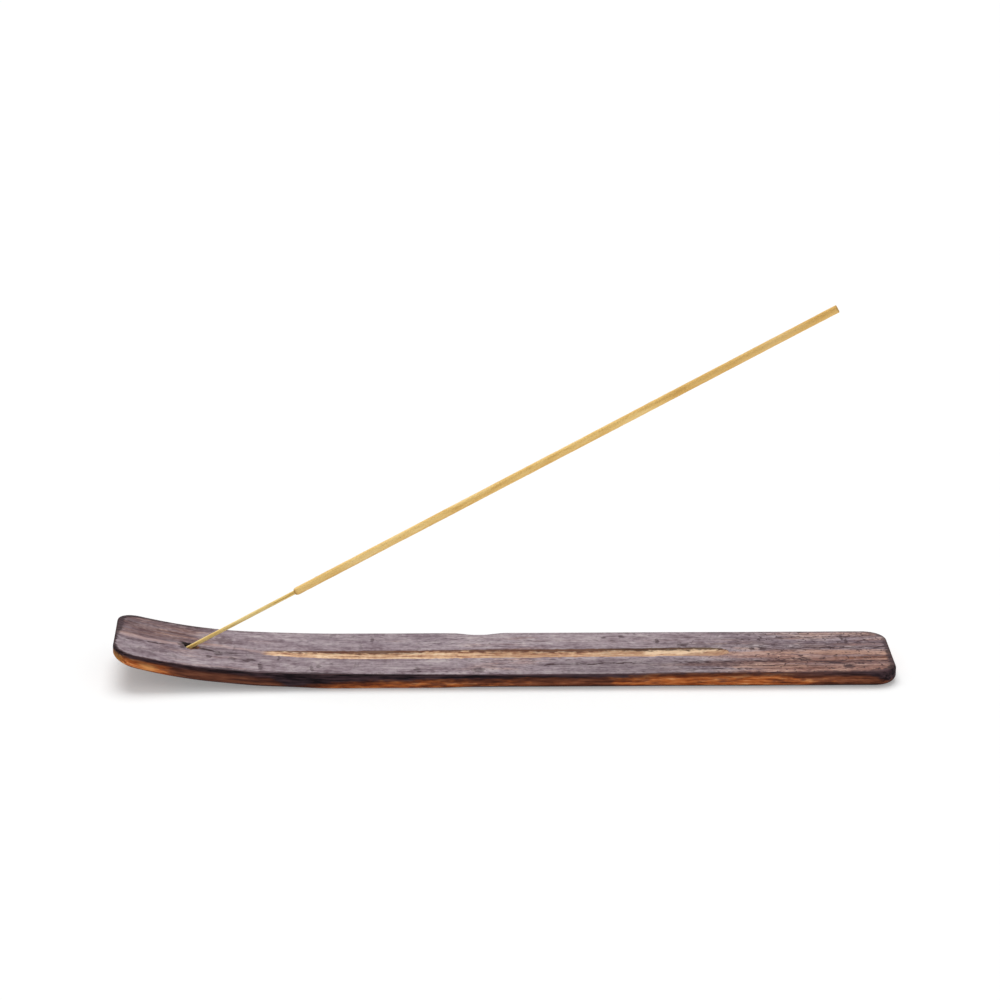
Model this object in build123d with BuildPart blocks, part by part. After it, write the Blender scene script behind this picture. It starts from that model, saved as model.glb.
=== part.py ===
from build123d import *
from math import acos, asin, cos, degrees, hypot, radians, sin, sqrt
import os

# Incense stick holder: a thin wooden board with one end swept up, and the stick that stands in it.
# Lengths are in millimetres and angles in degrees. The board lies along X with its swept-up end
# towards -X, +Y is across it and +Z is up. The origin is the middle of the board's plan, on the
# surface that it stands on.

# Board
board_length = 254.0
board_width = 38.0
board_thickness = 5.1
corner_radius = 7.5
edge_radius = 1.0  # sanded rims of the top and the underside

# Swept-up end, with the radii of its underside: a gentle lead-in, then a tighter arc to the tip
bend_length = 77.0
lead_length = 35.0
lead_radius = 600.0
tip_radius = 170.0
tip_thickness = 4.6  # at the very end, measured plumb

# Ash groove, cut by a round-nosed tool that ramps down into the wood and up again
groove_width = 7.8
groove_depth = 1.9
groove_tip_setback = 87.0  # from the swept-up end to the full depth
groove_flat_setback = 61.0  # from the flat end to the full depth
groove_ramp_in = 37.0  # towards the swept-up end, a long shallow entry
groove_ramp_out = 7.0  # towards the flat end, a short one

# Stick hole, drilled at the stick's own slant from a small hollow in the top face
hole_inset = 24.4  # from the swept-up end
hole_diameter = 2.2
hole_floor = 0.8  # wood left under the hole
hollow_diameter = 5.0
hollow_depth = 0.7

# Incense stick: a bamboo core, bare at its foot, inside a tube of dried incense paste
stick_lean = 28.8  # above the level
stick_length = 242.0
bare_length = 44.0
core_diameter = 1.35
coating_diameter = 2.6
coating_end_radius = 0.45
foot_chamfer = 0.2

# Fits and cuts
seat_clearance = 0.15  # between the core and the wood that it stands in
overrun = 4.0  # how far a cutting shape reaches past the wood


def cap_radius(width, depth):
    """Radius of the round tool that leaves a hollow of this width and depth."""
    return hypot(width / 2, depth) ** 2 / (2 * depth)


# Side profile, in X and Z. The underside is a flat run and two arcs, and the top follows it at
# one thickness as far as the tip arc, which thins the wood to the tip's own thickness.
flat_end_x = board_length / 2
tip_end_x = -board_length / 2
bend_x = tip_end_x + bend_length
lead_angle = asin(lead_length / lead_radius)
lead_normal = Vector(sin(lead_angle), cos(lead_angle))
under_joint = Vector(bend_x, lead_radius) - lead_normal * lead_radius
under_centre = under_joint + lead_normal * tip_radius


def underside(x):
    """Height of the tip's underside."""
    return under_centre.Y - sqrt(tip_radius**2 - (under_centre.X - x) ** 2)


top_joint = under_joint + lead_normal * board_thickness
tip_under = Vector(tip_end_x, underside(tip_end_x))
tip_top = tip_under + Vector(0, tip_thickness)
tip_chord = tip_top - top_joint
top_radius = tip_chord.length**2 / (2 * tip_chord.dot(lead_normal))
top_centre = top_joint + lead_normal * top_radius

# Mouth of the stick hole on the top face, and the hole's depth in the wood that is there
mouth_x = tip_end_x + hole_inset
mouth_slope = asin((top_centre.X - mouth_x) / top_radius)
mouth = Vector(mouth_x, 0, top_centre.Y - top_radius * cos(mouth_slope))
mouth_normal = Vector(sin(mouth_slope), 0, cos(mouth_slope))
mouth_thickness = (mouth.Z - underside(mouth_x)) * cos(mouth_slope)
hole_radius = hole_diameter / 2
hole_slant = radians(stick_lean) + mouth_slope
hole_depth = (mouth_thickness - hole_floor - hole_radius * cos(hole_slant)) / sin(hole_slant)

# The hole's own frame: Z is the way the stick pulls out, and -Y is the wall that the stick leans on
stick_direction = Vector(cos(radians(stick_lean)), 0, sin(radians(stick_lean)))
hole_plane = Plane(origin=mouth, x_dir=(0, 1, 0), z_dir=stick_direction)
core_radius = core_diameter / 2
core_drop = hole_radius - core_radius - seat_clearance
foot = hole_plane.from_local_coords((0, -core_drop, seat_clearance - hole_depth))
foot_plane = Plane(origin=foot, x_dir=(0, 1, 0), z_dir=stick_direction)

with BuildPart() as ash_board:
    with BuildSketch(Plane.XZ):
        with BuildLine():
            under_flat = Line((flat_end_x, 0), (bend_x, 0))
            under_lead = TangentArc(under_flat @ 1, under_joint, tangent=under_flat % 1)
            TangentArc(under_joint, tip_under, tangent=under_lead % 1)
            Line(tip_under, tip_top)
            TangentArc(top_joint, tip_top, tangent=under_lead % 1)
            top_flat = Line((flat_end_x, board_thickness), (bend_x, board_thickness))
            TangentArc(top_flat @ 1, top_joint, tangent=top_flat % 1)
            Line(top_flat @ 0, under_flat @ 0)
        make_face()
    extrude(amount=board_width / 2, both=True)

    # Rounded corners in plan, then the sanded rims all round the top and the underside
    fillet(ash_board.edges().filter_by(Axis.Z), radius=corner_radius)
    bend_seams = (
        ash_board.edges()
        .filter_by(Axis.Y)
        .filter_by_position(Axis.X, tip_end_x, flat_end_x, inclusive=(False, False))
    )
    rims = ash_board.edges().filter_by(Axis.Z, reverse=True) - bend_seams
    fillet(rims, radius=edge_radius)

    # Ash groove: the round tool dips from the top face, runs level and climbs out again
    tool_radius = cap_radius(groove_width, groove_depth)
    tool_height = board_thickness - groove_depth + tool_radius
    level_start = (tip_end_x + groove_tip_setback, tool_height)
    level_end = (flat_end_x - groove_flat_setback, tool_height)
    ramp_in_radius = cap_radius(2 * groove_ramp_in, groove_depth)
    ramp_out_radius = cap_radius(2 * groove_ramp_out, groove_depth)
    climb = groove_depth + overrun
    ramp_in_turn = degrees(acos(1 - climb / ramp_in_radius))
    ramp_out_turn = degrees(acos(1 - climb / ramp_out_radius))
    with BuildLine(Plane.XZ) as tool_path:
        JernArc(level_start, (-1, 0), ramp_in_radius, -ramp_in_turn)
        Line(level_start, level_end)
        JernArc(level_end, (1, 0), ramp_out_radius, ramp_out_turn)
    groove_path = tool_path.wires()[0]
    with BuildSketch(Plane(origin=groove_path @ 0, z_dir=groove_path % 0)):
        Circle(tool_radius)
    sweep(path=groove_path, mode=Mode.SUBTRACT)

    # Hollow at the mouth of the stick hole, and the hole
    hollow_radius = cap_radius(hollow_diameter, hollow_depth)
    with Locations(mouth + mouth_normal * (hollow_radius - hollow_depth)):
        Sphere(hollow_radius, mode=Mode.SUBTRACT)
    with Locations(hole_plane.offset(overrun)):
        Hole(hole_radius, depth=hole_depth + overrun)

with BuildPart() as bamboo_core:
    with BuildSketch(foot_plane):
        Circle(core_radius)
    extrude(amount=stick_length)
    foot_rim = bamboo_core.edges().sort_by(Axis(foot, stick_direction))[0]
    chamfer(foot_rim, length=foot_chamfer)

with BuildPart() as incense_coating:
    with BuildSketch(foot_plane.offset(bare_length)):
        Circle(coating_diameter / 2)
        Circle(core_radius, mode=Mode.SUBTRACT)
    extrude(amount=stick_length - bare_length)
    outer_rims = incense_coating.edges().filter_by(GeomType.CIRCLE).group_by(SortBy.RADIUS)[-1]
    fillet(outer_rims, radius=coating_end_radius)

ash_board.part.label = "ash_board"
bamboo_core.part.label = "bamboo_core"
incense_coating.part.label = "incense_coating"

os.makedirs("parts", exist_ok=True)
export_step(ash_board.part, "parts/ash_board.step")
export_step(bamboo_core.part, "parts/bamboo_core.step")
export_step(incense_coating.part, "parts/incense_coating.step")

for piece in (ash_board, bamboo_core, incense_coating):
    box = piece.part.bounding_box()
    print(piece.part.label, round(piece.part.volume, 2), "mm3, from", box.min, "to", box.max)
print("stick hole", round(hole_depth, 3), "deep from", mouth)
print("stick foot", foot, "pulls out along", stick_direction)
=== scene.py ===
# %% [markdown]
# # Incense stick holder
# A thin wooden board with one end swept up, a groove down its middle that catches the ash, and an
# incense stick that leans out of a slanting hole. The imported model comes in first: its solids give
# every size and place, and the pieces made below stand in for them with the finish of the real thing.

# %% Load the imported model
import math

import bmesh
import bpy
from mathutils import Matrix, Vector


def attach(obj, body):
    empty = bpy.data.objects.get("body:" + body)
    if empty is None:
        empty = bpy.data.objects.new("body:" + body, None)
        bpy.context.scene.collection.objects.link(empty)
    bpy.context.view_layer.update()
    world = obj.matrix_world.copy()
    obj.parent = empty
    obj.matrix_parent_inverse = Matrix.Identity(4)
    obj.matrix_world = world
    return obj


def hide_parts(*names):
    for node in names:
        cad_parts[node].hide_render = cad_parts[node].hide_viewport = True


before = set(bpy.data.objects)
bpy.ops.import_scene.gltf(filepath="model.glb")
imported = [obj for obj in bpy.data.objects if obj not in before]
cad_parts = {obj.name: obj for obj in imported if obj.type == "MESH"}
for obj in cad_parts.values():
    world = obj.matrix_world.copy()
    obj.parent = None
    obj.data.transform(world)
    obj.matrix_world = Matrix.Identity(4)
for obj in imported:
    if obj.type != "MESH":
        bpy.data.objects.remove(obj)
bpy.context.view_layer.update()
scene = bpy.context.scene
scene.view_settings.view_transform = "Standard"
MM = 0.001

# %% [markdown]
# ## Camera
# The photograph was taken from far off with a long lens, a little above the table and almost square
# to the board's long side. The camera could be placed by eye, but an angle, a distance and a lens
# that were solved for from the board's own corners put every edge where the photograph has it.

# %% Place the camera
camera_azimuth = math.radians(-2.149)
camera_elevation = math.radians(18.712)
camera_roll = math.radians(0.51)
camera_distance = 1186.07 * MM
camera_aim = Vector((-2.05, 0.0, 57.86)) * MM
camera_lens = 132.34

towards_camera = Vector(
    (
        math.sin(camera_azimuth) * math.cos(camera_elevation),
        -math.cos(camera_azimuth) * math.cos(camera_elevation),
        math.sin(camera_elevation),
    )
)
picture_right = Vector((0, 0, 1)).cross(towards_camera).normalized()
picture_up = towards_camera.cross(picture_right)
roll = Matrix.Rotation(camera_roll, 3, towards_camera)

camera_data = bpy.data.cameras.new("photo_camera")
camera_data.lens = camera_lens
camera_data.sensor_width = 36.0
camera_data.clip_start = 0.01
camera_data.clip_end = 50.0
camera = bpy.data.objects.new("photo_camera", camera_data)
scene.collection.objects.link(camera)
axes = Matrix((roll @ picture_right, roll @ picture_up, towards_camera)).transposed()
place = Matrix.Translation(camera_aim + towards_camera * camera_distance)
camera.matrix_world = place @ axes.to_4x4()
scene.camera = camera
print("Camera stands at", [round(c / MM, 1) for c in camera.matrix_world.translation], "mm")

# %% [markdown]
# ## A short way to write nodes
# Materials and Geometry Nodes are both trees of nodes, and both are mostly sums. A tree could be
# wired link by link, but the sum is then hard to read. So one small class wraps a socket, and
# Python's own operators on it add the Math nodes.

# %% Wires and trees


class Wire:
    """One output of a node. Sums with it add Math nodes to its tree."""

    def __init__(self, tree, made, socket):
        self.tree = tree
        self.made = made
        self.socket = socket

    def out(self, name):
        return Wire(self.tree, self.made, self.made.outputs[name])

    def math(self, operation, *values):
        return self.tree.node("ShaderNodeMath", {"operation": operation}, dict(enumerate(values)))

    def __add__(self, other):
        return self.math("ADD", self, other)

    def __sub__(self, other):
        return self.math("SUBTRACT", self, other)

    def __rsub__(self, other):
        return self.math("SUBTRACT", other, self)

    def __mul__(self, other):
        return self.math("MULTIPLY", self, other)

    def __truediv__(self, other):
        return self.math("DIVIDE", self, other)

    def __rtruediv__(self, other):
        return self.math("DIVIDE", other, self)

    def __abs__(self):
        return self.math("ABSOLUTE", self)

    __radd__ = __add__
    __rmul__ = __mul__

    def sqrt(self):
        return self.math("SQRT", self)

    def sign(self):
        return self.math("SIGN", self)

    def sine(self):
        return self.math("SINE", self)

    def at_least(self, other):
        return self.math("MAXIMUM", self, other)

    def at_most(self, other):
        return self.math("MINIMUM", self, other)

    def over(self, other):
        return self.math("GREATER_THAN", self, other)

    def step(self, low, high):
        """0 at low, 1 at high, and an easy curve between them."""
        settings = {"interpolation_type": "SMOOTHSTEP"}
        sockets = {"Value": self, "From Min": low, "From Max": high}
        return self.tree.node("ShaderNodeMapRange", settings, sockets)

    def xyz(self):
        first = self.tree.node("ShaderNodeSeparateXYZ", {}, {"Vector": self})
        return first, first.out("Y"), first.out("Z")


class Tree:
    """A node tree, with one method that adds any node to it."""

    def __init__(self, nodes_of):
        self.tree = nodes_of

    def node(self, kind, settings=None, sockets=None, output=0):
        made = self.tree.nodes.new(kind)
        for name, value in (settings or {}).items():
            if name == "stops":
                self.set_stops(made.color_ramp, value)
            else:
                setattr(made, name, value)
        for name, value in (sockets or {}).items():
            if isinstance(value, Wire):
                self.tree.links.new(value.socket, made.inputs[name])
            else:
                made.inputs[name].default_value = value
        return Wire(self, made, made.outputs[output] if made.outputs else None)

    @staticmethod
    def set_stops(ramp, stops):
        while len(ramp.elements) < len(stops):
            ramp.elements.new(1.0)
        for element, (position, colour) in zip(ramp.elements, stops):
            element.position = position
            element.color = colour

    def vector(self, x, y, z):
        return self.node("ShaderNodeCombineXYZ", {}, {"X": x, "Y": y, "Z": z})

    def noise(self, x, y, z, detail=2.0, roughness=0.5):
        sockets = {
            "Vector": self.vector(x, y, z),
            "Scale": 1.0,
            "Detail": detail,
            "Roughness": roughness,
        }
        return self.node("ShaderNodeTexNoise", {}, sockets)


# %% [markdown]
# ## From a tree to a plain mesh
# A Geometry Nodes tree is handed its sizes by name and works in millimetres. Its result is turned
# into an ordinary mesh in metres, so that nothing is left to be worked out later. The mesh is then
# measured: a closed piece whose faces point outwards has a volume above zero and no open edge.

# %% Run a tree


def new_geometry_tree(name, sizes):
    group = bpy.data.node_groups.new(name, "GeometryNodeTree")
    for size in sizes:
        group.interface.new_socket(size, in_out="INPUT", socket_type="NodeSocketFloat")
    group.interface.new_socket("Mesh", in_out="OUTPUT", socket_type="NodeSocketGeometry")
    tree = Tree(group)
    first = tree.node("NodeGroupInput")
    return tree, {size: first.out(size) for size in sizes}


def end_tree(tree, mesh, material):
    in_metres = tree.node("GeometryNodeTransform", {}, {"Geometry": mesh, "Scale": (MM, MM, MM)})
    smooth = tree.node("GeometryNodeSetShadeSmooth", {}, {"Geometry": in_metres})
    real = tree.node("GeometryNodeRealizeInstances", {}, {"Geometry": smooth})
    finished = tree.node("GeometryNodeSetMaterial", {}, {"Geometry": real, "Material": material})
    tree.node("NodeGroupOutput", {}, {"Mesh": finished})


def plain_piece(name, tree, sizes, sharp_angle=40.0):
    piece = bpy.data.objects.new(name, bpy.data.meshes.new(name))
    scene.collection.objects.link(piece)
    modifier = piece.modifiers.new(name, "NODES")
    modifier.node_group = tree.tree
    for item in tree.tree.interface.items_tree:
        if item.in_out == "INPUT":
            modifier[item.identifier] = sizes[item.name]
    depsgraph = bpy.context.evaluated_depsgraph_get()
    mesh = bpy.data.meshes.new_from_object(
        piece.evaluated_get(depsgraph), preserve_all_data_layers=True, depsgraph=depsgraph
    )
    piece.modifiers.remove(modifier)
    mesh.name = name
    mesh.set_sharp_from_angle(angle=math.radians(sharp_angle))
    piece.data = mesh
    measure = bmesh.new()
    measure.from_mesh(mesh)
    open_edges = sum(not edge.is_manifold for edge in measure.edges)
    triangles = sum(len(face.verts) - 2 for face in measure.faces)
    volume = round(measure.calc_volume(signed=True) / MM**3, 1)
    measure.free()
    print(name, "has", triangles, "triangles,", volume, "mm3 and", open_edges, "open edges")
    return piece


# %% [markdown]
# ## Colours
# Colours below are written as red, green and blue from 0 to 255, as a picture editor shows them.
# Blender's shaders work in linear light, so each one is converted.

# %% Colours and mixing


def paint(red, green, blue):
    def linear(part):
        share = part / 255
        return share / 12.92 if share <= 0.04045 else ((share + 0.055) / 1.055) ** 2.4

    return (linear(red), linear(green), linear(blue), 1.0)


def cover(mask, under, over, how="MIX"):
    """Lays one colour over another where the mask is 1."""
    settings = {"data_type": "RGBA", "blend_type": how}
    return mask.tree.node("ShaderNodeMix", settings, {0: mask, 6: under, 7: over}, output=2)


def shades(factor, *stops):
    """A ramp of colours over the factor."""
    return factor.tree.node("ShaderNodeValToRGB", {"stops": stops}, {"Fac": factor})


def new_material(name):
    material = bpy.data.materials.new(name)
    material.use_nodes = True
    material.node_tree.nodes.clear()
    return material, Tree(material.node_tree)


def finish_surface(tree, **sockets):
    named = {name.replace("_", " "): value for name, value in sockets.items()}
    shader = tree.node("ShaderNodeBsdfPrincipled", {}, named)
    tree.node("ShaderNodeOutputMaterial", {}, {"Surface": shader})


# %% [markdown]
# ## The stained and scorched wood
# The board is a soft orange-brown wood. Its top was washed with a thin mauve-grey stain that lets
# the grain through, its rims were scorched with a flame, and the ash groove was cut afterwards, so
# it shows the pale bare wood. One material does all of this, because the finishes run into each
# other. It reads two attributes of the board's own mesh: where a point lay in the plank before it
# was bent, so that the grain follows the bend, and how far in from the outline it is.

# %% Wood coordinates, in millimetres
stained_wood, wood = new_material("stained_wood")
grain = wood.node("ShaderNodeAttribute", {"attribute_name": "grain"}, {}, output="Vector")
along, across, level = grain.xyz()
edge = wood.node("ShaderNodeAttribute", {"attribute_name": "edge"}, {}, output="Fac")
board_thickness = 5.1
board_length = 254.0
depth = board_thickness - level


def streaks(length, width, detail=3.0, shift=0.0):
    """Noise drawn out along the grain, in patches of about this length and width."""
    return wood.noise(along / length + shift, across / width, level / width, detail, 0.55)


print("Wood coordinates come from the attributes grain and edge")

# %% Values that change along the board
# The far side repeats the near side's pattern turned end for end.
far = across.step(-7.0, 7.0)
sided = along * (1 - far * 2)


def lengthwise(place, *stops):
    """Pairs of a place along the board and the value there."""
    ramp = [(stop / board_length + 0.5, (value, value, value, 1.0)) for stop, value in stops]
    return shades(place / board_length + 0.5, *ramp)


toast_stops = (-127, 0.1), (-121, 0.0), (-112, 0.0), (-108, 0.9), (-102, 1.6), (-84, 1.6)
toast_stops += (-72, 1.2), (-62, 0.9), (-55, 0.4), (-34, 0.5), (-18, 0.45), (-8, 0.85), (3, 0.85)
toast_stops += (12, 1.2), (31, 1.15), (36, 0.2), (80, 0.25), (92, 0.6), (102, 1.0), (118, 1.2)
toast_stops += ((127, 1.3),)
toast = lengthwise(sided, *toast_stops)
scorch_stops = (-127, 0.30), (-113, 0.22), (-102, 0.16), (-88, 0.20), (-76, 0.34), (-70, 0.9)
scorch_stops += (-65, 0.75), (-58, 0.62), (-48, 0.48), (-20, 0.36), (6, 0.28), (30, 0.32)
scorch_stops += (38, 0.30), (47, 0.12), (88, 0.07), (108, 0.04), (115, 0.14), (120, 0.36), (124, 0.7)
scorch_reach = lengthwise(sided, *scorch_stops) * board_thickness
print("Toasting has", len(toast_stops), "stops, scorching", len(scorch_stops))

# %% Bare wood on the sides and the underside
long_streak = streaks(30.0, 1.2, shift=3.1)
fine_streak = streaks(5.0, 0.6, shift=7.7)
figure = long_streak * 0.55 + fine_streak * 0.45
bare = shades(
    figure,
    (0.38, paint(120, 58, 32)),
    (0.47, paint(178, 96, 47)),
    (0.54, paint(200, 116, 62)),
    (0.62, paint(232, 166, 110)),
)
under_face = level.step(0.5, 0.1) * edge.step(0.6, 3.0)
patchy = streaks(9.0, 2.0, shift=4.4)
flecks = streaks(3.4, 0.9, shift=8.3)
toasting = toast + (0.55 - toast) * under_face
toasted = (toasting + (patchy - 0.5) * 2.2 + (flecks - 0.5) * 1.6).step(0.15, 0.95)
brown = shades(figure, (0.41, paint(50, 29, 26)), (0.59, paint(130, 76, 57)))
bare = cover(toasted * 0.86, bare, brown)
smoked = sided.step(-111.0, -104.0) * sided.step(-68.0, -78.0)
bare = cover(smoked * 0.4, bare, paint(70, 46, 43))
# A painted highlight: a light peach patch on the near side below the tip's rim.
painted_highlight_spot = abs(along + 115.5).step(4.0, 1.0) * depth.step(1.2, 2.6) * across.step(0.0, -6.0)
painted_highlight_spot = painted_highlight_spot * patchy.step(0.36, 0.56) * (1 - under_face)
bare = cover(painted_highlight_spot * 0.6, bare, paint(238, 172, 106))
gold_corner = along.step(-122.0, -125.5) * across.step(-7.0, -11.0)
bare = cover(gold_corner * (1 - under_face) * 0.55, bare, paint(158, 118, 50))
bare = cover(under_face * 0.6, bare, paint(100, 74, 62))
print("Bare wood is toasted along the sides")

# %% Mauve-grey stain on the top
broad = streaks(60.0, 12.0, shift=0.4)
blotch = streaks(8.0, 4.0, shift=1.3)
fibres = streaks(16.0, 1.0, shift=5.9)
speckle = streaks(1.7, 1.2, detail=2.0, shift=2.5)
saw_marks = wood.noise(along / 2.0, across / 7.0, level, 3.0)
wash = broad * 0.18 + blotch * 0.32 + fibres * 0.22 + speckle * 0.18 + saw_marks * 0.1
stain = shades(
    wash,
    (0.41, paint(109, 92, 98)),
    (0.47, paint(138, 122, 129)),
    (0.53, paint(160, 146, 151)),
    (0.60, paint(184, 171, 173)),
)
print("Stain has four shades")

# %% Wood that shows through the stain
rosy_wash = streaks(40.0, 2.6, shift=8.8) * 0.45 + fibres * 0.12 + blotch * 0.23 + speckle * 0.2
rosy = shades(
    rosy_wash,
    (0.41, paint(78, 49, 43)),
    (0.47, paint(126, 92, 84)),
    (0.53, paint(160, 124, 112)),
    (0.60, paint(210, 174, 156)),
)


def patch(start_x, end_x, fade, start_y, end_y):
    """A stretch of the board that fades in at both ends and sideways."""
    stretch = along.step(start_x - fade, start_x) * along.step(end_x + fade, end_x)
    return stretch * across.step(start_y, end_y)


flat_end = along.step(30.0, 100.0)
tip_end = along.step(-88.0, -108.0) * across.step(-2.0, 1.0)
middle = along.step(-20.0, -10.0) * along.step(16.0, 4.0)
thin_stain = flat_end * (0.85 - far * 0.45) + tip_end * 0.35 + middle * 0.3
thin_stain = thin_stain + along.step(-60.0, -100.0) * 0.2
shows = (thin_stain + (streaks(18.0, 3.0, shift=6.1) - 0.5) * 1.8).step(0.2, 0.9)
top_colour = cover(shows * 0.9, stain, rosy)
top_colour = cover(tip_end * 0.4, top_colour, paint(82, 60, 62))
near_shade = patch(30.0, 60.0, 25.0, -4.0, -8.0)
top_colour = cover(near_shade * 0.35, top_colour, paint(88, 74, 80))
far_shade = patch(-60.0, -26.0, 16.0, 3.0, 8.0)
top_colour = cover(far_shade * 0.17, top_colour, paint(112, 100, 112))
far_light = patch(26.0, 60.0, 14.0, 3.0, 8.0)
top_colour = cover(far_light * 0.06, top_colour, paint(196, 178, 178))
brown_half = along.step(70.0, 100.0) * across.step(2.0, -10.0)
top_colour = cover(brown_half * 0.4, top_colour, paint(118, 76, 62))
print("Rosy wood shows at both ends")

# %% Marks on the top: lines along the grain, nicks across it and blots
unevenness = (streaks(3.5, 3.0, detail=2.0, shift=7.1) - 0.5) * 2.0
breaks = streaks(3.2, 1.6, detail=2.0, shift=0.7).step(0.42, 0.56)


def seam(start_x, start_y, end_x, end_y, half_width):
    """A thin uneven line from one place on the top to another."""
    slope = (end_y - start_y) / (end_x - start_x)
    off = abs(across - start_y - (along - start_x) * slope + unevenness)
    inside = along.step(start_x - 1.0, start_x + 1.0) * along.step(end_x + 1.0, end_x - 1.0)
    return off.step(half_width, half_width * 0.3) * inside


def blot(at_x, at_y, reach_x, reach_y):
    """A ragged spot."""
    off_x = (along - at_x + unevenness * 0.6) / reach_x
    off_y = (across - at_y + unevenness) / reach_y
    return (off_x * off_x + off_y * off_y + (speckle - 0.5) * 3.0).step(1.3, 0.3)


def together(marks):
    """The strongest of several marks at each place."""
    joined = marks[0]
    for mark in marks[1:]:
        joined = joined.at_least(mark)
    return joined


# Painted highlight and shade along a crease near the tip: the ridge's lit face is painted pale, and
# the dark line beside it is painted shade as well as a split.
ridge_highlight = seam(-128, -1.2, -105, -0.2, 1.5).at_least(seam(-97, 3.4, -78, 0.2, 1.1) * 0.7)
split_and_crease_shade = seam(-128, -4.6, -111, -1.8, 0.8) * breaks
split_and_crease_shade = split_and_crease_shade.at_least(seam(-99.5, -0.5, -94, -2.8, 0.9))
split_and_crease_shade = split_and_crease_shade.at_least(seam(-94, -2.4, -87, -2.9, 0.7) * breaks)
grain_line_places = (
    (8, -11.2, 46, -9.6, 1.3),
    (56, -9.4, 80, -9.0, 1.2),
    (78, -9.1, 100, -6.6, 1.7),
    (60, -15.3, 76, -15.4, 1.0),
    (92, 3.1, 128, 4.1, 1.3),
    (100, -10.2, 113, -10.3, 1.5),
    (94, 13.0, 128, 13.4, 0.8),
)
grain_lines = together([seam(*place) for place in grain_line_places])
grey_band = seam(74, 8.4, 126, 7.7, 3.0)
brown_row = seam(107, -5.8, 126, -6.0, 1.8)
light_line_places = (
    (62, -1.6, 100, -1.2, 2.0),
    (98, -0.7, 128, -1.0, 3.0),
    (74, -13.8, 98, -13.2, 1.8),
    (98, 15.8, 124, 16.0, 1.6),
)
light_lines = together([seam(*place) for place in light_line_places])
blot_places = (
    (-96.3, -7.6, 1.2, 1.6),
    (-93.4, -4.4, 1.6, 1.4),
    (-88.7, -8.2, 1.6, 1.8),
    (-83.4, -8.6, 2.0, 1.6),
    (-79.6, -14.0, 0.8, 4.0),
    (-73.8, -5.2, 0.6, 2.6),
    (-62.9, -14.0, 0.7, 4.0),
    (-60.5, -11.8, 0.9, 1.4),
    (-43.3, 12.6, 0.6, 2.6),
    (-28.8, -15.2, 1.2, 2.4),
    (-9.0, -15.0, 2.4, 2.0),
    (33.6, 13.4, 1.2, 1.2),
    (39.0, 13.8, 1.0, 1.6),
    (50.6, 10.0, 0.8, 2.6),
    (59.0, 6.8, 2.6, 2.2),
    (81.0, 2.3, 1.2, 1.8),
    (84.6, 2.3, 1.8, 2.1),
    (97.8, -6.8, 2.2, 2.2),
    (111.9, 12.4, 0.7, 2.4),
    (113.1, 9.0, 0.6, 2.0),
    (111.3, -13.4, 1.8, 2.4),
)
blots = together([blot(*place) for place in blot_places])
smudge_places = (
    (-123, 13.0, 4.5, 4.5),
    (-112, 15.6, 6.0, 2.6),
    (-101, 15.8, 6.0, 2.4),
    (-117, 6.0, 3.0, 1.6),
    (-92, 8.0, 4.0, 3.0),
)
smudges = together([blot(*place) for place in smudge_places])
print("Marks:", len(grain_line_places), "grain lines and", len(blot_places), "blots")

# %% Dark grain, pores and saw marks
weathered = along.step(24.0, 98.0)
lines = streaks(75.0, 2.0, detail=2.0, shift=9.4).step(0.50, 0.60)
lines = lines * (weathered * (0.82 - far * 0.25) + 0.12)
ticks = streaks(2.4, 0.9, detail=2.0, shift=6.3).step(0.42, 0.58)
dark = lines.at_least(grain_lines) * (ticks * 0.8 + 0.2)
pores = streaks(2.2, 0.7, detail=1.0, shift=2.4).step(0.59, 0.68)
pored = (broad + weathered * 0.2).step(0.42, 0.66)
pits = wood.noise(along / 1.5, across / 2.4, level + 5.0, 1.0).step(0.60, 0.70) * weathered
cuts = saw_marks.step(0.56, 0.68) * streaks(14.0, 9.0, detail=1.0, shift=3.7).step(0.46, 0.6)
pores = pores * (pored * 0.5 + 0.15)
blots = blots * (fine_streak.step(0.36, 0.56) * 0.4 + 0.35 + weathered * 0.2)
dark = together([dark, pores, cuts * 0.35, pits * 0.85, split_and_crease_shade * 0.9, blots])
top_colour = cover(smudges * 0.5, top_colour, paint(84, 62, 66))
# The ridge is painted pale as a highlight.
top_colour = cover(ridge_highlight * 0.55, top_colour, paint(190, 162, 158))
top_colour = cover(light_lines * 0.55, top_colour, paint(190, 150, 130))
top_colour = cover(grey_band * (ticks * 0.35 + 0.45), top_colour, paint(96, 80, 88))
top_colour = cover(brown_row * (ticks * 0.4 + 0.4), top_colour, paint(122, 76, 52))
top_colour = cover(dark, top_colour, paint(62, 45, 48))
print("Grain lines, pores and saw marks are dark")

# %% The groove, the stain that ran over its lips, and painted shade on its upper walls
pale_streak = streaks(8.0, 0.5, shift=2.2) * 0.5 + streaks(18.0, 0.9, shift=6.6) * 0.3 + speckle * 0.2
pale = shades(
    pale_streak,
    (0.40, paint(146, 104, 82)),
    (0.46, paint(194, 151, 122)),
    (0.53, paint(225, 188, 152)),
    (0.60, paint(244, 219, 188)),
)
# The groove's floor is a darker brown in some stretches.
groove_dark_stops = (-52, 0.0), (-34, 0.25), (-18, 0.0), (-2, 0.5), (10, 0.55), (24, 0.2)
groove_dark_stops += (34, 0.5), (42, 0.55), (52, 0.0)
groove_darkening = lengthwise(along, *groove_dark_stops)
darker_groove = (groove_darkening + streaks(5.0, 1.2, shift=4.1) - 0.5).step(0.05, 0.65)
pale = cover(darker_groove * 0.5, pale, paint(150, 106, 80))
# Painted shade: the near part of the groove's floor at the flat end, and its rising end, are painted
# a duller brown.
groove_floor_shade = along.step(52.0, 62.0) * across.step(3.4, 2.2)
groove_floor_shade = groove_floor_shade.at_least(along.step(66.0, 74.0) * 0.8)
pale = cover(groove_floor_shade * 0.7, pale, paint(164, 126, 102))
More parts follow.
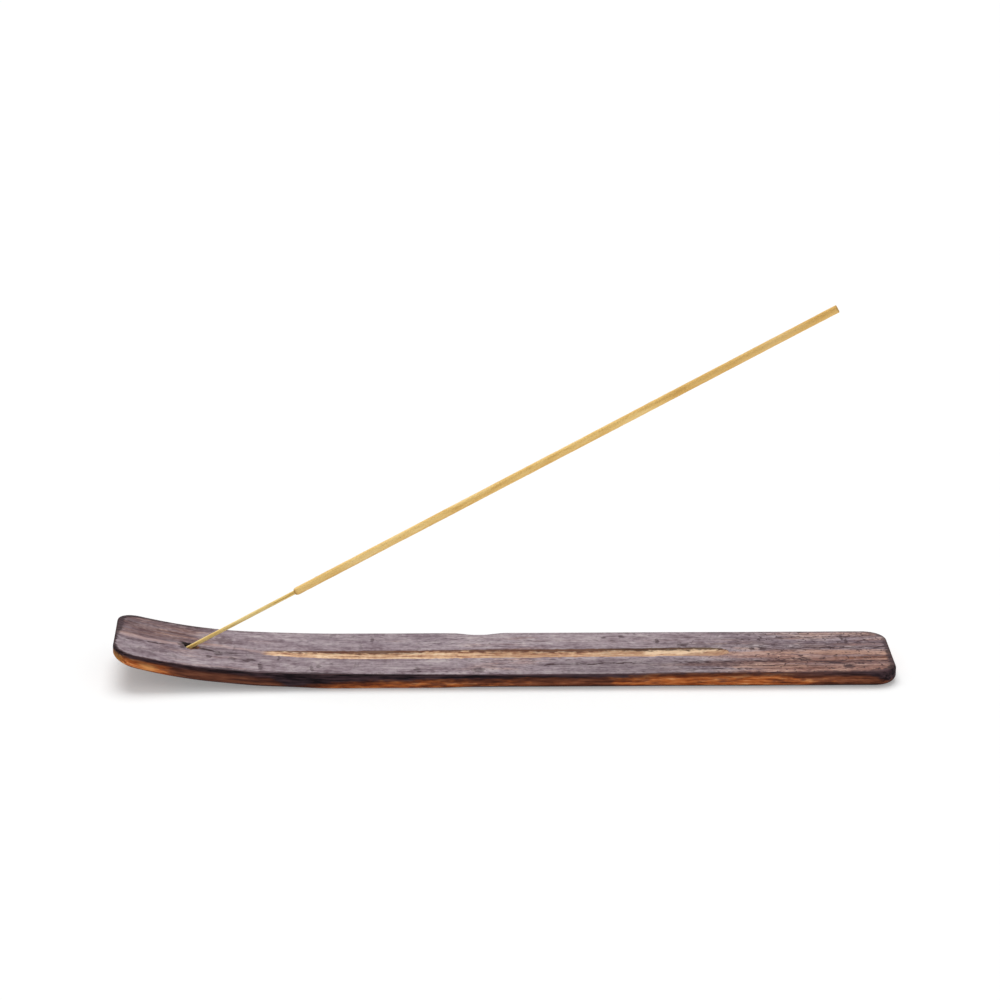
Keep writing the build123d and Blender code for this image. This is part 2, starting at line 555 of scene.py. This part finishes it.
# Painted highlight: a pale streak along the groove's far wall at the flat end.
far_wall_highlight = seam(46.0, 2.5, 71.0, 3.9, 1.1)
pale = cover(far_wall_highlight * 0.75, pale, paint(252, 224, 190))
torn = (streaks(2.4, 0.8, detail=2.0, shift=5.2) - 0.5) * 1.6
floor_stops = (-84, 0.2), (-77, 0.6), (-70, 1.0), (-60, 1.4), (-50, 1.75), (-40, 1.9)
floor_stops += (66, 1.9), (70, 1.3), (74, 0.3)
groove_floor = lengthwise(along, *floor_stops)
lip_stops = (-70, 0.68), (-36, 0.68), (-26, 0.5), (-14, 0.46), (-4, 0.56)
lip_stops += (20, 0.66), (40, 0.58), (72, 0.6)
lip = lengthwise(along, *lip_stops)
# The stain over the lips is also darkened as painted shade on the groove's upper walls, most of all
# towards the flat end.
lip_stain_and_shade = (depth / groove_floor + torn * 0.5).step(lip, lip - 0.3)
lip_stain_and_shade_colour = shades(along.step(28.0, 38.0), (0.0, paint(100, 67, 58)), (1.0, paint(68, 48, 42)))
pale = cover(lip_stain_and_shade * 0.88, pale, lip_stain_and_shade_colour)
cut = edge.step(4.0, 6.0) * level.step(2.2, 2.6) * along.step(-80.4, -76.0)
in_groove = cut * depth.step(0.12, 0.26)
print("Groove is pale")

# %% Scorched rims
ragged = (streaks(5.0, 1.0, detail=3.0, shift=1.9) - 0.5) * 2.4
burn = depth + ragged - scorch_reach
side = edge.step(1.1, 0.35)
browned = burn.step(1.9, -0.2) * side
scorched = burn.step(0.4, -0.6) * side
tip_rim = along.step(-88.0, -108.0)
flat_rim = along.step(84.0, 112.0) * (1 - far * 0.6)
ends = along.step(118.0, 124.0) * (1 - far * 0.6) + along.step(-118.0, -124.0) * 0.3
bend_rim = along.step(-104.0, -90.0) * along.step(-46.0, -60.0) * (1 - far)
rim_width = 1.2 + far * 0.6 + far * tip_rim * 1.0 + flat_rim * 0.7 + bend_rim * 1.2 + ends * 1.0
rim_line = (edge + (speckle - 0.5) * 2.4).step(rim_width, rim_width * 0.5) * depth.step(1.6, 0.9)
rim_strength = 0.35 + tip_rim * 0.45 + flat_rim * 0.4 + bend_rim * 0.4 + ends * 0.4
rim_line = rim_line * rim_strength.at_most(0.85)
# The charcoal along the lower rim is partly scorch and partly painted shade along the rounded lower
# edge.
under_stops = (-127, 0.5), (-100, 0.55), (-85, 0.75), (-74, 0.75), (-64, 0.1), (-30, 0.0)
under_stops += (-16, 0.5), (0, 0.8), (127, 0.8)
scorch_and_shade_lower_rim = level.step(1.2, 0.5) * edge.step(2.4, 0.8) * lengthwise(sided, *under_stops)
on_top = depth.step(1.5, 0.8) * edge.step(0.25, 0.9)
print("Scorch reaches down the sides")

# %% The burnt mouth of the hole, with painted shade in and beside it
below_top = level.step(0.9, 1.2)
# The hole's opening and inside are painted near black: partly char, partly painted shade in the hole.
mouth = blot(-103.2, 1.2, 2.5, 1.9).step(0.15, 0.6) * below_top
# A darker grey ring round the hole's mouth.
dark_ring_at_mouth = blot(-104.2, 0.2, 3.0, 2.8).at_least(blot(-105.2, -2.2, 1.4, 1.5)) * below_top
# A brown patch beside the stick's foot: partly a chipped rim, partly the stick's painted shadow.
chip_and_stick_shadow = blot(-101.7, -1.1, 2.3, 2.2).step(0.1, 0.8) * below_top
bore = depth.step(0.55, 0.8) * edge.step(6.0, 7.0) * along.step(-92.0, -96.0) * level.step(0.5, 0.8)
print("Hole's mouth is burnt")

# %% Put the colours together
charcoal = shades(figure, (0.42, paint(25, 18, 22)), (0.60, paint(75, 56, 61)))
colour = cover(browned * 0.75, bare, paint(58, 30, 26))
colour = cover(on_top.at_least(in_groove), colour, top_colour)
colour = cover(in_groove, colour, pale)
# Charcoal on the scorched rims, with painted shade along the lower rim.
colour = cover(together([scorched, rim_line, scorch_and_shade_lower_rim]), colour, charcoal)
chip_and_shadow_colour = shades(fine_streak, (0.40, paint(56, 34, 24)), (0.60, paint(136, 84, 46)))
colour = cover(chip_and_stick_shadow * 0.9, colour, chip_and_shadow_colour)
colour = cover(dark_ring_at_mouth * 0.7, colour, paint(62, 48, 50))
# Near black in the hole's opening and inside: char and painted shade.
colour = cover(mouth.at_least(bore) * 0.96, colour, paint(24, 14, 12))
roughness = 0.66 - side * 0.1 + scorched * 0.2
height = figure * 0.3 + speckle * 0.35 - dark * 0.6
bump = wood.node("ShaderNodeBump", {}, {"Strength": 0.35, "Distance": 0.25 * MM, "Height": height})
finish_surface(wood, Base_Color=colour, Roughness=roughness, Specular_IOR_Level=0.05, Normal=bump)
print("Board material", len(stained_wood.node_tree.nodes), "nodes")

# %% [markdown]
# ## The board
# The board follows a rule: a flat box whose corners and rims are rounded, bent upwards over its last
# third by two arcs, with a round-bottomed cut along its top. It could be sculpted, but a Geometry
# Nodes tree keeps the rule in view. It starts from a finely divided box that reaches from -1 to 1,
# and each sum below moves its points one step nearer to the board.

# %% Sizes of the board, in millimetres
board_sizes = {
    "Length": board_length,
    "Width": 38.0,
    "Thickness": board_thickness,
    "Corner radius": 7.5,
    "Edge radius": 1.0,
    "Bend length": 77.0,
    "Lead length": 35.0,
    "Lead radius": 600.0,
    "Tip radius": 170.0,
    "Tip thickness": 4.6,
    "Groove width": 7.8,
    "Groove depth": 1.9,
    "Groove tip setback": 87.0,
    "Groove flat setback": 61.0,
    "Groove ramp in": 37.0,
    "Groove ramp out": 8.0,
    "Groove drift": -0.3,
    "Groove bow": -0.8,
    "Groove veer": 0.7,
    "Hole inset": 24.4,
    "Hole diameter": 2.2,
    "Hole depth": 5.426,
    "Hollow diameter": 5.0,
    "Hollow depth": 0.7,
    "Wander": 0.25,
    "Far dip": 0.65,
    "Near dip": 0.4,
    "Near lift": 0.35,
    "Lower wear": 1.1,
    "Ridge height": 0.22,
    "Split depth": 0.35,
}
stick_lean = math.radians(28.8)
tree, size = new_geometry_tree("swept_up_board", board_sizes)
half_length = size["Length"] / 2
half_width = size["Width"] / 2
half_thickness = size["Thickness"] / 2
print("Board tree takes", len(board_sizes), "sizes")

# %% A finely divided box, with its points crowded towards the rims


def crowd(value, share):
    """Moves evenly spaced places from -1 to 1 nearer to both ends."""
    return value * (1 - share) + (value * (math.pi / 2)).sine() * share


divisions = {"Vertices X": 480, "Vertices Y": 84, "Vertices Z": 11}
plank = tree.node("GeometryNodeMeshCube", {}, {"Size": (2, 2, 2), **divisions})
u, v, t = tree.node("GeometryNodeInputPosition").xyz()
flat_x = crowd(u, 0.25) * half_length
flat_y = crowd(v, 0.35) * half_width
flat_z = crowd(t, 0.5) * half_thickness
print("Box divided into", divisions)

# %% Rounded corners, then rounded rims
# A square of side 1 becomes a quarter disc when each coordinate shrinks with the other one's square.


def shrink(value, other):
    """One coordinate, drawn in as the other one grows."""
    return value * (1 - other * other / 2).sqrt()


corner = size["Corner radius"]
inner_x = half_length - corner
inner_y = half_width - corner
corner_u = (abs(flat_x) - inner_x).at_least(0) / corner
corner_v = (abs(flat_y) - inner_y).at_least(0) / corner
plan_x = abs(flat_x).at_most(inner_x) + corner * shrink(corner_u, corner_v)
plan_y = abs(flat_y).at_most(inner_y) + corner * shrink(corner_v, corner_u)


def outline(x, y):
    """How far in from the outline a place is, up to the corner radius, and which way is out."""
    past_x = (x - inner_x).at_least(0)
    past_y = (y - inner_y).at_least(0)
    reach = (past_x * past_x + past_y * past_y).sqrt().at_least(0.001)
    return corner - reach, past_x / reach, past_y / reach


inset, out_x, out_y = outline(plan_x, plan_y)
sharper = flat_x.step(-72.0, -58.0) * flat_x.step(-10.0, -22.0)
rim = size["Edge radius"] + size["Lower wear"] * t.step(0.0, -0.5) * (1 - sharper * 0.8)
near_rim = (1 - inset / rim).at_least(0)
near_face = ((abs(flat_z) - half_thickness) / rim + 1).at_least(0)
pull_in = rim * (near_rim - shrink(near_rim, near_face))
pull_down = rim * (near_face - shrink(near_face, near_rim))
print("Corners and rims rounded")

# %% Hand-sawn outline
sawn = tree.noise(flat_x / 30, flat_y.sign() * 7, 3.3, 3.0) - 0.5
waver = size["Wander"] * 2 * sawn * inset.step(6.0, 0.0)
side_step = waver - pull_in
board_x = flat_x.sign() * (plan_x + out_x * side_step)
board_y = flat_y.sign() * (plan_y + out_y * side_step)
board_z = flat_z.sign() * (abs(flat_z) - pull_down) + half_thickness
print("Outline wanders by", board_sizes["Wander"], "mm")

# %% The bend
# Two arcs lift the underside, and the top follows them and closes in on it towards the tip.
tip_x = -1 * half_length
bend_x = tip_x + size["Bend length"]
lead = size["Lead radius"]
lead_sine = size["Lead length"] / lead
lead_cosine = (1 - lead_sine * lead_sine).sqrt()


def arc(x, centre_x, centre_z, radius):
    """Height of the lower half of a circle."""
    off = x - centre_x
    return centre_z - (radius * radius - off * off).at_least(0).sqrt()


def choose(test, one, other):
    """The first value where the test is 1, and the other where it is 0."""
    return tree.node("ShaderNodeMix", {"data_type": "FLOAT"}, {0: test, 2: other, 3: one})


joint_x = bend_x - size["Lead length"]
joint_z = lead * (1 - lead_cosine)
under_x = joint_x + lead_sine * size["Tip radius"]
under_z = joint_z + lead_cosine * size["Tip radius"]
top_joint_x = joint_x + lead_sine * size["Thickness"]
top_joint_z = joint_z + lead_cosine * size["Thickness"]
chord_x = tip_x - top_joint_x
chord_z = arc(tip_x, under_x, under_z, size["Tip radius"]) + size["Tip thickness"] - top_joint_z
chord_out = (chord_x * lead_sine + chord_z * lead_cosine) * 2
top_radius = (chord_x * chord_x + chord_z * chord_z) / chord_out
top_x = top_joint_x + lead_sine * top_radius
top_z = top_joint_z + lead_cosine * top_radius


def underside_and_top(x):
    """Heights of the bent board's underside and top face."""
    lead_x = x.at_most(bend_x)
    under = arc(lead_x, bend_x, lead, lead)
    under = choose(x.over(joint_x), under, arc(x, under_x, under_z, size["Tip radius"]))
    top = arc(lead_x, bend_x, lead, lead - size["Thickness"])
    top = choose(x.over(top_joint_x), top, arc(x, top_x, top_z, top_radius))
    return under, top


def twist(x, y):
    """How far the near side of the tip is lifted."""
    return size["Near lift"] * x.step(-78.0, -92.0) * y.step(-4.0, -17.0)


under, top = underside_and_top(board_x)
far_dip = size["Far dip"] * abs(board_x + 8).step(9.0, 1.0) * board_y.step(12.0, 18.5)
near_dip = size["Near dip"] * board_x.step(-55.0, -10.0) * board_x.step(58.0, 38.0)
near_dip = near_dip * board_y.step(-13.0, -18.5)
dipped = top - far_dip - near_dip
bent_z = under + (dipped - under) * (board_z / size["Thickness"]) + twist(board_x, board_y)
print("Bend starts", board_sizes["Bend length"], "mm from the tip")

# %% The ash groove


def cap_radius(width, cap_depth):
    """Radius of the round tool that leaves a hollow of this width and depth."""
    return (width * width / 4 + cap_depth * cap_depth) / (2 * cap_depth)


def climb(past, run):
    """How far the tool has risen after going this far up its ramp."""
    radius = cap_radius(run * 2, size["Groove depth"])
    return arc(past.at_least(0), 0.0, radius, radius)


level_start = tip_x + size["Groove tip setback"]
level_end = half_length - size["Groove flat setback"]
rise = climb(level_start - board_x, size["Groove ramp in"])
rise = rise + climb(board_x - level_end, size["Groove ramp out"])
bow = size["Groove bow"] * abs(board_x + 40).step(50.0, 0.0)
veer = size["Groove veer"] * board_x.step(20.0, 60.0)
wobble = size["Wander"] * 2 * (tree.noise(board_x / 35, 0.0, 8.1) - 0.5)
drift = size["Groove drift"] + bow + veer + wobble
jag = (tree.noise(board_x / 1.6, board_y / 2.5, 4.4, 1.0) - 0.5) * 0.9
from_middle = (abs(board_y - drift) + jag).at_least(0)
tool = cap_radius(size["Groove width"], size["Groove depth"])
chatter = (tree.noise(board_x / 5.0, board_y / 1.0, 9.2, 2.0) - 0.5) * 0.4
floor_depth = size["Groove depth"] + top - size["Thickness"] - rise
groove = (floor_depth + chatter - arc(from_middle, 0.0, tool, tool)).at_least(0)
print("Groove is", board_sizes["Groove depth"], "mm deep")

# %% The hollow at the hole's mouth, and the worn top
mouth_x = tip_x + size["Hole inset"]
from_mouth_x = board_x - mouth_x
from_mouth = (from_mouth_x * from_mouth_x + board_y * board_y).sqrt()
chipped = from_mouth + (tree.noise(board_x / 1.4, board_y / 1.2, 6.0, 2.0) - 0.5) * 1.4
scoop = cap_radius(size["Hollow diameter"], size["Hollow depth"])
hollow = (size["Hollow depth"] - arc(chipped.at_least(0), 0.0, scoop, scoop)).at_least(0)
worn = (tree.noise(board_x / 45, board_y / 16, 1.0) - 0.5) * 0.35
ridged = (tree.noise(board_x / 14, board_y / 1.1, 2.0, 2.0) - 0.5) * 0.16


def crease(start_x, start_y, end_x, end_y, half_width):
    """A line on the top from one place to another, 1 along its middle and 0 beside it."""
    slope = (end_y - start_y) / (end_x - start_x)
    uneven_y = (tree.noise(board_x / 3.5, board_y / 6, 5.0) - 0.5) * 1.2
    off = abs(board_y - start_y - (board_x - start_x) * slope + uneven_y)
    inside = board_x.step(start_x - 2.0, start_x) * board_x.step(end_x + 2.0, end_x)
    return off.step(half_width, 0.0) * inside


ridge_relief = size["Ridge height"] * crease(-130, -1.2, -106, -0.2, 1.8)
split_relief = size["Split depth"] * crease(-130, -4.6, -111, -1.8, 1.0)
split_relief = split_relief + size["Split depth"] * crease(-99.5, -0.5, -93, -2.8, 1.0)
relief = (worn + ridged + ridge_relief - split_relief) * inset.step(0.0, 3.0)
carved_z = bent_z - t.over(0.9) * (groove + hollow - relief)
carved_place = tree.vector(board_x, board_y, carved_z)
carved = tree.node("GeometryNodeSetPosition", {}, {"Geometry": plank, "Position": carved_place})
print("Top has a worn relief")

# %% Drill the hole
overrun = 4.0
mouth_z = underside_and_top(mouth_x)[1]
drill_reach = size["Hole depth"] + overrun
drill_middle = (overrun - size["Hole depth"]) / 2
drill_radius = size["Hole diameter"] / 2
drill_sizes = {"Vertices": 32, "Side Segments": 12, "Radius": drill_radius, "Depth": drill_reach}
drill = tree.node("GeometryNodeMeshCylinder", {}, drill_sizes)
drill_x = mouth_x + drill_middle * math.cos(stick_lean)
drill_z = mouth_z + drill_middle * math.sin(stick_lean)
drill_place = tree.vector(drill_x, 0.0, drill_z)
stick_turn = (0.0, math.pi / 2 - stick_lean, 0.0)
drill_turn = {"Translation": drill_place, "Rotation": stick_turn}
drill = tree.node("GeometryNodeTransform", {}, {"Geometry": drill, **drill_turn})
drilled = tree.node(
    "GeometryNodeMeshBoolean",
    {"operation": "DIFFERENCE", "solver": "EXACT"},
    {"Mesh 1": carved, "Mesh 2": drill},
)
print("Hole drilled at", round(math.degrees(stick_lean), 1), "degrees")

# %% Where each point lay in the plank
x, y, z = tree.node("GeometryNodeInputPosition").xyz()
under, top = underside_and_top(x)
plank_level = (z - twist(x, y) - under) / (top - under) * size["Thickness"]
inset_here = outline(abs(x), abs(y))[0]
mesh = tree.node(
    "GeometryNodeStoreNamedAttribute",
    {"data_type": "FLOAT_VECTOR", "domain": "POINT"},
    {"Geometry": drilled, "Name": "grain", "Value": tree.vector(x, y, plank_level)},
)
mesh = tree.node(
    "GeometryNodeStoreNamedAttribute",
    {"data_type": "FLOAT", "domain": "POINT"},
    {"Geometry": mesh, "Name": "edge", "Value": inset_here},
)
end_tree(tree, mesh, stained_wood)
board = plain_piece("board", tree, board_sizes)

# %% Let the board stand for its solid
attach(board, "holder")
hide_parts("ash_board")

# %% [markdown]
# ## The bamboo splint
# An incense stick is rolled around a splint of split bamboo, which stays bare at the foot. Split
# bamboo is never round: it keeps four soft corners, and its fibres run the whole length. A cylinder
# with many rings takes that shape from one sum over its angle and a little noise.

# %% Bamboo finish
stick_length = 242.0
bare_length = 44.0
core_diameter = 1.35
split_bamboo, fibre = new_material("split_bamboo")
strand = fibre.node("ShaderNodeAttribute", {"attribute_name": "strand"}, {}, output="Vector")
strand_x, strand_y, strand_z = strand.xyz()
threads = fibre.noise(strand_x * 4, strand_y * 4, strand_z / 18, 3.0, 0.6)
mottle = fibre.noise(strand_x, strand_y, strand_z / 5, 2.0)
bamboo_colour = shades(
    threads * 0.7 + mottle * 0.3,
    (0.38, paint(196, 152, 72)),
    (0.48, paint(242, 206, 120)),
    (0.60, paint(254, 232, 164)),
)
# The splint's foot inside the hole is painted dark: partly soot, partly painted shade in the hole.
soot_and_hole_shade = (strand_z + (mottle - 0.5) * 3.0).step(4.4, 1.8)
bamboo_colour = cover(soot_and_hole_shade * 0.85, bamboo_colour, paint(74, 48, 32))
bump = fibre.node("ShaderNodeBump", {}, {"Strength": 0.4, "Distance": 0.1 * MM, "Height": threads})
finish_surface(fibre, Base_Color=bamboo_colour, Roughness=0.5, Specular_IOR_Level=0.35, Normal=bump)
print("Bamboo has fibres along the stick")

# %% Splint
stick_foot = (-107.091, 0.0, 5.232)
splint_sizes = {"Length": stick_length, "Diameter": core_diameter, "Foot chamfer": 0.2}


def stand_stick(tree, mesh):
    """Leans a piece that was made upright at the origin, as the stick leans."""
    sockets = {"Geometry": mesh, "Translation": stick_foot, "Rotation": stick_turn}
    return tree.node("GeometryNodeTransform", {}, sockets)


def keep_strand(tree, mesh):
    """Stores where each point lies on the upright stick."""
    settings = {"data_type": "FLOAT_VECTOR", "domain": "POINT"}
    here = tree.node("GeometryNodeInputPosition")
    sockets = {"Geometry": mesh, "Name": "strand", "Value": here}
    return tree.node("GeometryNodeStoreNamedAttribute", settings, sockets)


tree, size = new_geometry_tree("bamboo_splint", splint_sizes)
rings = {"Vertices": 24, "Side Segments": 220, "Radius": 1.0, "Depth": 1.0}
rod = tree.node("GeometryNodeMeshCylinder", {"fill_type": "TRIANGLE_FAN"}, rings)
x, y, z = tree.node("GeometryNodeInputPosition").xyz()
height = (z + 0.5) * size["Length"]
squared = x * x
four_corners = squared * squared * 8 - squared * 8
uneven = tree.noise(x * 1.2, y * 1.2, height / 9, 2.0) - 0.5
radius = size["Diameter"] / 2 * (0.98 - four_corners * 0.02 + uneven * 0.12)
radius = radius - size["Foot chamfer"] * height.step(0.6, 0.0)
shaped_place = tree.vector(x * radius, y * radius, height)
shaped = tree.node("GeometryNodeSetPosition", {}, {"Geometry": rod, "Position": shaped_place})
end_tree(tree, stand_stick(tree, keep_strand(tree, shaped)), split_bamboo)
splint = plain_piece("splint", tree, splint_sizes)
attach(splint, "stick")
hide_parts("bamboo_core")

# %% [markdown]
# ## The incense paste
# The paste is rolled on by hand while it is wet: a straight tube, slightly lumpy, with a rounded
# shoulder where it starts and a clean cut at the end. A flat grid is curled around the splint: one
# way goes round, and the other follows the tube's outline up the outside and back down the bore.

# %% Paste finish
incense_paste, paste = new_material("incense_paste")
strand = paste.node("ShaderNodeAttribute", {"attribute_name": "strand"}, {}, output="Vector")
strand_x, strand_y, strand_z = strand.xyz()
powder = paste.noise(strand_x * 4, strand_y * 4, strand_z * 4, 3.0, 0.6)
rolled = paste.noise(strand_x / 2, strand_y / 2, strand_z / 14, 2.0)
paste_colour = shades(
    powder * 0.5 + rolled * 0.5,
    (0.38, paint(220, 174, 97)),
    (0.50, paint(245, 205, 128)),
    (0.62, paint(254, 222, 155)),
)
specks = paste.noise(strand_x * 3, strand_y * 3, strand_z * 2.2, 1.0).step(0.68, 0.76)
paste_colour = cover(specks * 0.45, paste_colour, paint(128, 84, 40))
darker_end = strand_z.step(160.0, 205.0)
paste_colour = cover(darker_end * 0.4, paste_colour, paint(206, 156, 80))
# Painted shade: the paste is darker where it meets the bare splint and on its cut end.
crevice_shade = strand_z.step(bare_length + 1.0, bare_length + 0.2)
cut_face_shade = strand_z.step(stick_length - 0.7, stick_length - 0.1)
paste_colour = cover(crevice_shade.at_least(cut_face_shade) * 0.5, paste_colour, paint(150, 106, 48))
bump = paste.node("ShaderNodeBump", {}, {"Strength": 0.4, "Distance": 0.15 * MM, "Height": powder})
finish_surface(paste, Base_Color=paste_colour, Roughness=0.85, Specular_IOR_Level=0.2, Normal=bump)
print("Paste is a dry powder")

# %% Coating
coating_sizes = {
    "Start": bare_length,
    "Length": stick_length - bare_length,
    "Diameter": 2.6,
    "Bore": core_diameter,
    "Shoulder": 1.3,
    "End radius": 0.35,
}
outside_share = 0.92
end_share = 0.96
full_turn = 2 * math.pi
crowding = 0.8
tree, size = new_geometry_tree("incense_coating", coating_sizes)
grid = {"Size X": 1.0, "Size Y": 1.0, "Vertices X": 37, "Vertices Y": 420}
flat_grid = tree.node("GeometryNodeMeshGrid", {}, grid)
u, v, t = tree.node("GeometryNodeInputPosition").xyz()
turn = u * full_turn
round_x = turn.math("COSINE", turn)
round_y = turn.sine()
travel = v + 0.5
up = (travel / outside_share).at_most(1)
up = up - (up * full_turn).sine() * (crowding / full_turn)
across_end = ((travel - outside_share) / (end_share - outside_share)).at_least(0).at_most(1)
down = ((travel - end_share) / (1 - end_share)).at_least(0)
outer_z = up * size["Length"]
bore = size["Bore"] / 2
wall = size["Diameter"] / 2 - bore
below = (1 - outer_z / size["Shoulder"]).at_least(0)
beyond = ((outer_z - size["Length"]) / size["End radius"] + 1).at_least(0)
lumps = (tree.noise(round_x, round_y, outer_z / 2.6, 2.0) - 0.5) * 0.14
lumps = lumps + (tree.noise(round_x / 3, round_y / 3, outer_z / 24, 1.0) - 0.5) * 0.12
outer = bore + (wall + lumps) * (1 - below * below).at_least(0).sqrt()
outer = outer - size["End radius"] * (1 - (1 - beyond * beyond).at_least(0).sqrt())
radius = outer * (1 - across_end) + bore * across_end
height = outer_z * (1 - down) + size["Start"]
curled_place = tree.vector(round_x * radius, round_y * radius, height)
curled = tree.node("GeometryNodeSetPosition", {}, {"Geometry": flat_grid, "Position": curled_place})
closed = tree.node("GeometryNodeMergeByDistance", {}, {"Geometry": curled, "Distance": 0.0005})
end_tree(tree, stand_stick(tree, keep_strand(tree, closed)), incense_paste)
coating = plain_piece("coating", tree, coating_sizes)
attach(coating, "stick")
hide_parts("incense_coating")

# %% [markdown]
# ## Floor and light
# The photograph has a white sweep of paper and soft light from above. A wide lamp overhead gives a
# soft shadow, a weak one in front lifts the near side, and the world fills in the rest. The floor
# could be plain white, but part of it glows to the camera, so that it is white and keeps the shadow.

# %% Floor


def looked_at(tree):
    """1 for what the camera sees, straight or by way of a mirror or glass."""
    rays = tree.node("ShaderNodeLightPath")
    return rays.at_least(rays.out("Is Glossy Ray")).at_least(rays.out("Is Transmission Ray"))


white = (1.0, 1.0, 1.0, 1.0)
floor_glow = 0.25
floor_paper, paper = new_material("floor_paper")
seen = looked_at(paper)
lit = paper.node("ShaderNodeBsdfDiffuse", {}, {"Color": (0.97, 0.97, 0.97, 1.0)})
glow = paper.node("ShaderNodeEmission", {}, {"Color": white, "Strength": 1.0})
both = paper.node("ShaderNodeMixShader", {}, {0: seen * floor_glow, 1: lit, 2: glow})
paper.node("ShaderNodeOutputMaterial", {}, {"Surface": both})

floor_mesh = bpy.data.meshes.new("floor")
reach = 6.0
floor_level = -0.0001
corner_places = (-reach, -reach), (reach, -reach), (reach, reach), (-reach, reach)
floor_points = [(corner_x, corner_y, floor_level) for corner_x, corner_y in corner_places]
floor_mesh.from_pydata(floor_points, [], [(0, 1, 2, 3)])
floor_mesh.materials.append(floor_paper)
floor = bpy.data.objects.new("floor", floor_mesh)
scene.collection.objects.link(floor)
print("Floor is", 2 * reach, "m across")

# %% Light


def soft_sun(name, energy, angle, tilt_x, tilt_y):
    """A lamp as wide as a soft box, tilted from straight overhead."""
    lamp_data = bpy.data.lights.new(name, "SUN")
    lamp_data.energy = energy
    lamp_data.angle = math.radians(angle)
    lamp = bpy.data.objects.new(name, lamp_data)
    lamp.rotation_euler = (math.radians(tilt_x), math.radians(tilt_y), 0.0)
    scene.collection.objects.link(lamp)


soft_sun("soft_box", 2.1, 45, -25, -4)
soft_sun("front_card", 0.35, 90, 55, 0)

world = bpy.data.worlds.new("studio")
scene.world = world
world.use_nodes = True
world.node_tree.nodes.clear()
sky = Tree(world.node_tree)
seen = looked_at(sky)
fill = 0.4
strength = seen * (1 - fill) + fill
background = sky.node("ShaderNodeBackground", {}, {"Color": white, "Strength": strength})
sky.node("ShaderNodeOutputWorld", {}, {"Surface": background})
print("World fills with", fill)
